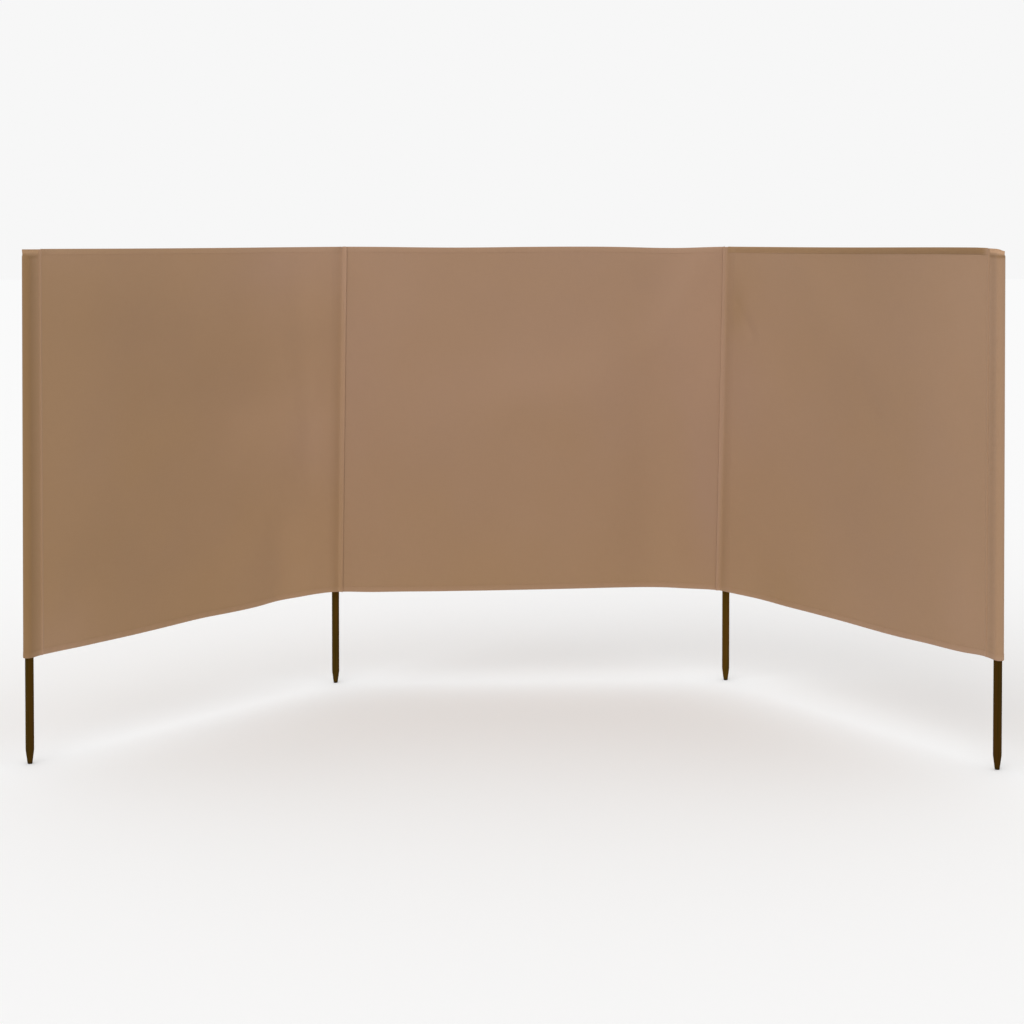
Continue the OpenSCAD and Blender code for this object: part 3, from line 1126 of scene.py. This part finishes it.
# %% Fold the hems
HEM_THICK = 0.6 * MM
TOP_HEM = {"left": 17 * MM, "centre": 18 * MM, "right": 20 * MM}
TOP_RELIEF = {"left": 0.55, "centre": 0.5, "right": 1.0}
TOP_HEM_SHADING = {"left": (-0.03, 0.02), "centre": (0.055, 0.055), "right": (0.0, 0.03)}
TOP_HEM_SHADE_OLIVE = {"right": 0.6}
TOP_HEM_SHADE_BAND = {"right": 0.75}
UNDER_SHADE = {"right": 0.16}
DARK_END = 28 * MM
COLUMNS_BEFORE = 4
COLUMNS_AFTER = 3
FOOT_RELIEF = 0.5
FOOT_HEM_LIGHT = 0.075
FOOT_HEM_LIGHT_ROSE = 0.45


def free_columns(sheet):
    inside = np.where(sheet["free"] > 0.0)[0]
    return inside[0], inside[-1]


def fold_top_hem(name, sheet):
    first, last = free_columns(sheet)
    first, last = first - COLUMNS_BEFORE, last + COLUMNS_AFTER
    points, painted = hem_points(sheet, first, last, HEIGHT, -TOP_HEM[name], TOP_RELIEF[name])
    run = sheet["run"][first:last]
    along = run / run[-1]
    dark = smooth((run[-1] - run) / DARK_END)
    # painted light and shade along the top hem, and painted shade on the right hem's underside
    painted["painted_shading"] += np.outer(np.interp(along, (0.0, 1.0), TOP_HEM_SHADING[name]), 1.0 - HAIRPIN_DROPS)
    painted["painted_shading"] -= UNDER_SHADE.get(name, 0.0) * np.outer(dark * along, HAIRPIN_DROPS**2)
    painted["olive"] += TOP_HEM_SHADE_OLIVE.get(name, 0.0) * dark[:, None]
    painted["painted_pole_shade"] += TOP_HEM_SHADE_BAND.get(name, 0.0) * (dark * along**2)[:, None]
    return points, run, painted


def fold_bottom_hem(name, sheet):
    points, painted = hem_points(sheet, 0, len(sheet["run"]), 0.0, HEM, FOOT_RELIEF)
    # painted lighter, rosier edge along the bottom hem
    painted["painted_shading"] += FOOT_HEM_LIGHT * (1.0 - HAIRPIN_DROPS)
    painted["olive"] -= FOOT_HEM_LIGHT_ROSE * (1.0 - HAIRPIN_DROPS)
    return points, sheet["run"], painted


hems = {name: [] for name in sheets}
for name, sheet in sheets.items():
    for label, fold in (("_top_hem", fold_top_hem), ("_bottom_hem", fold_bottom_hem)):
        points, run, painted = fold(name, sheet)
        up = np.linspace(0.0, 2 * HEM, points.shape[1])
        hem = cloth_mesh(name + label + "_fold", points, run, up, painted)
        thicken(hem, HEM_THICK)
        carry(hem, name)
        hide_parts(name + label)
        hems[name].append(hem)
print("hems:", {piece.name: len(piece.data.polygons) for pair in hems.values() for piece in pair})

# %% [markdown]
# Stitches are what says that the thing was sewn. Bump could draw them, but modelled ones catch the light.
# One stitch is a small stretched sphere. Copies of it are laid along the stitching lines, on both sides of
# the cloth, turned to the line and to the cloth's normal, and joined into one mesh for each bay.

# %% Make one stitch and lay copies
STITCH_LENGTH = 3.3 * MM
STITCH_R = 0.33 * MM
STITCH_FLATNESS = 0.8

pattern = bmesh.new()
bmesh.ops.create_uvsphere(pattern, u_segments=6, v_segments=4, radius=1.0)
bmesh.ops.rotate(pattern, verts=pattern.verts[:], matrix=Matrix.Rotation(math.pi / 2, 3, "Y"))
stitch_size = (STITCH_LENGTH / 2, STITCH_R, STITCH_R * STITCH_FLATNESS)
bmesh.ops.scale(pattern, vec=stitch_size, verts=pattern.verts[:])
for face in pattern.faces:
    face.smooth = True
stitch_mesh = bpy.data.meshes.new("stitch_pattern")
pattern.to_mesh(stitch_mesh)
pattern.free()


def sew(name, stitches):
    bm = bmesh.new()
    for place, way, out, lift in stitches:
        x_axis = Vector(way).normalized()
        z_axis = Vector(out).normalized()
        y_axis = z_axis.cross(x_axis).normalized()
        turn = Matrix((x_axis, y_axis, x_axis.cross(y_axis))).transposed().to_4x4()
        one = stitch_mesh.copy()
        one.transform(Matrix.Translation(Vector(place) + z_axis * lift) @ turn)
        bm.from_mesh(one)
        bpy.data.meshes.remove(one)
    made = mesh_object(name, bm)
    made.data.materials.append(thread)
    return made


print("one stitch:", len(stitch_mesh.polygons), "faces")

# %% [markdown]
# The stitching lines follow the cloth as it hangs: one along each hem, at the pinch of its hairpin, and one
# up each seam that shows. Each line is read off the sheet at even steps, so it needs no projection.

# %% Sew the stitches
STITCH_PITCH = 4.4 * MM
STITCH_SUNK = 0.05 * MM
HEM_LINE_BEFORE = 8 * MM
HEM_LINE_AFTER = 2 * MM
SEAM_LINE_CLEAR = 4 * MM
SEAM_LINE_IN = 4.5 * MM
END_LINE_OUT = 2 * MM
SEAM_LIFT = 0.5 * MM


def spot(grid, columns, z):
    rows = np.interp(z, ROWS, np.arange(len(ROWS)))
    column = np.minimum(columns.astype(int), grid.shape[0] - 2)
    row = np.minimum(rows.astype(int), grid.shape[1] - 2)
    on, up = (columns - column)[:, None], (rows - row)[:, None]
    low = grid[column, row] * (1 - on) + grid[column + 1, row] * on
    high = grid[column, row + 1] * (1 - on) + grid[column + 1, row + 1] * on
    return low * (1 - up) + high * up


def stitch_line(sheet, runs, heights, lift):
    columns = np.interp(runs, sheet["run"], np.arange(len(sheet["run"])))
    places = spot(sheet["points"], columns, heights)
    outs = spot(sheet_normals(sheet["points"]), columns, heights)
    ways = np.gradient(places, axis=0)
    return [(*stitch, lift) for side in (1, -1) for stitch in zip(places, ways, outs * side)]


def bay_stitches(name, sheet):
    first, last = (sheet["run"][column] for column in free_columns(sheet))
    along = np.arange(first - HEM_LINE_BEFORE, last + HEM_LINE_AFTER, STITCH_PITCH)
    hem_lines = ((HEIGHT - PINCH[0] * TOP_HEM[name], TOP_RELIEF[name]), (PINCH[0] * HEM, FOOT_RELIEF))
    lines = []
    for height, relief in hem_lines:
        lift = relief * PINCH[1] * MM + HEM_THICK / 2 - STITCH_SUNK
        lines += stitch_line(sheet, along, np.full(len(along), height), lift)
    upright = np.arange(HEM + SEAM_LINE_CLEAR, HEIGHT - HEM - SEAM_LINE_CLEAR, STITCH_PITCH)
    centre_seams = (first + SEAM_LINE_IN, last - SEAM_LINE_IN)
    for run in centre_seams if name == "centre" else (last + END_LINE_OUT,):
        lines += stitch_line(sheet, np.full(len(upright), run), upright, SEAM_LIFT)
    return lines


stitching = {}
for name, sheet in sheets.items():
    stitching[name] = sew(name + "_stitching", bay_stitches(name, sheet))
    carry(stitching[name], name)
print("stitch faces:", {name: len(piece.data.polygons) for name, piece in stitching.items()})
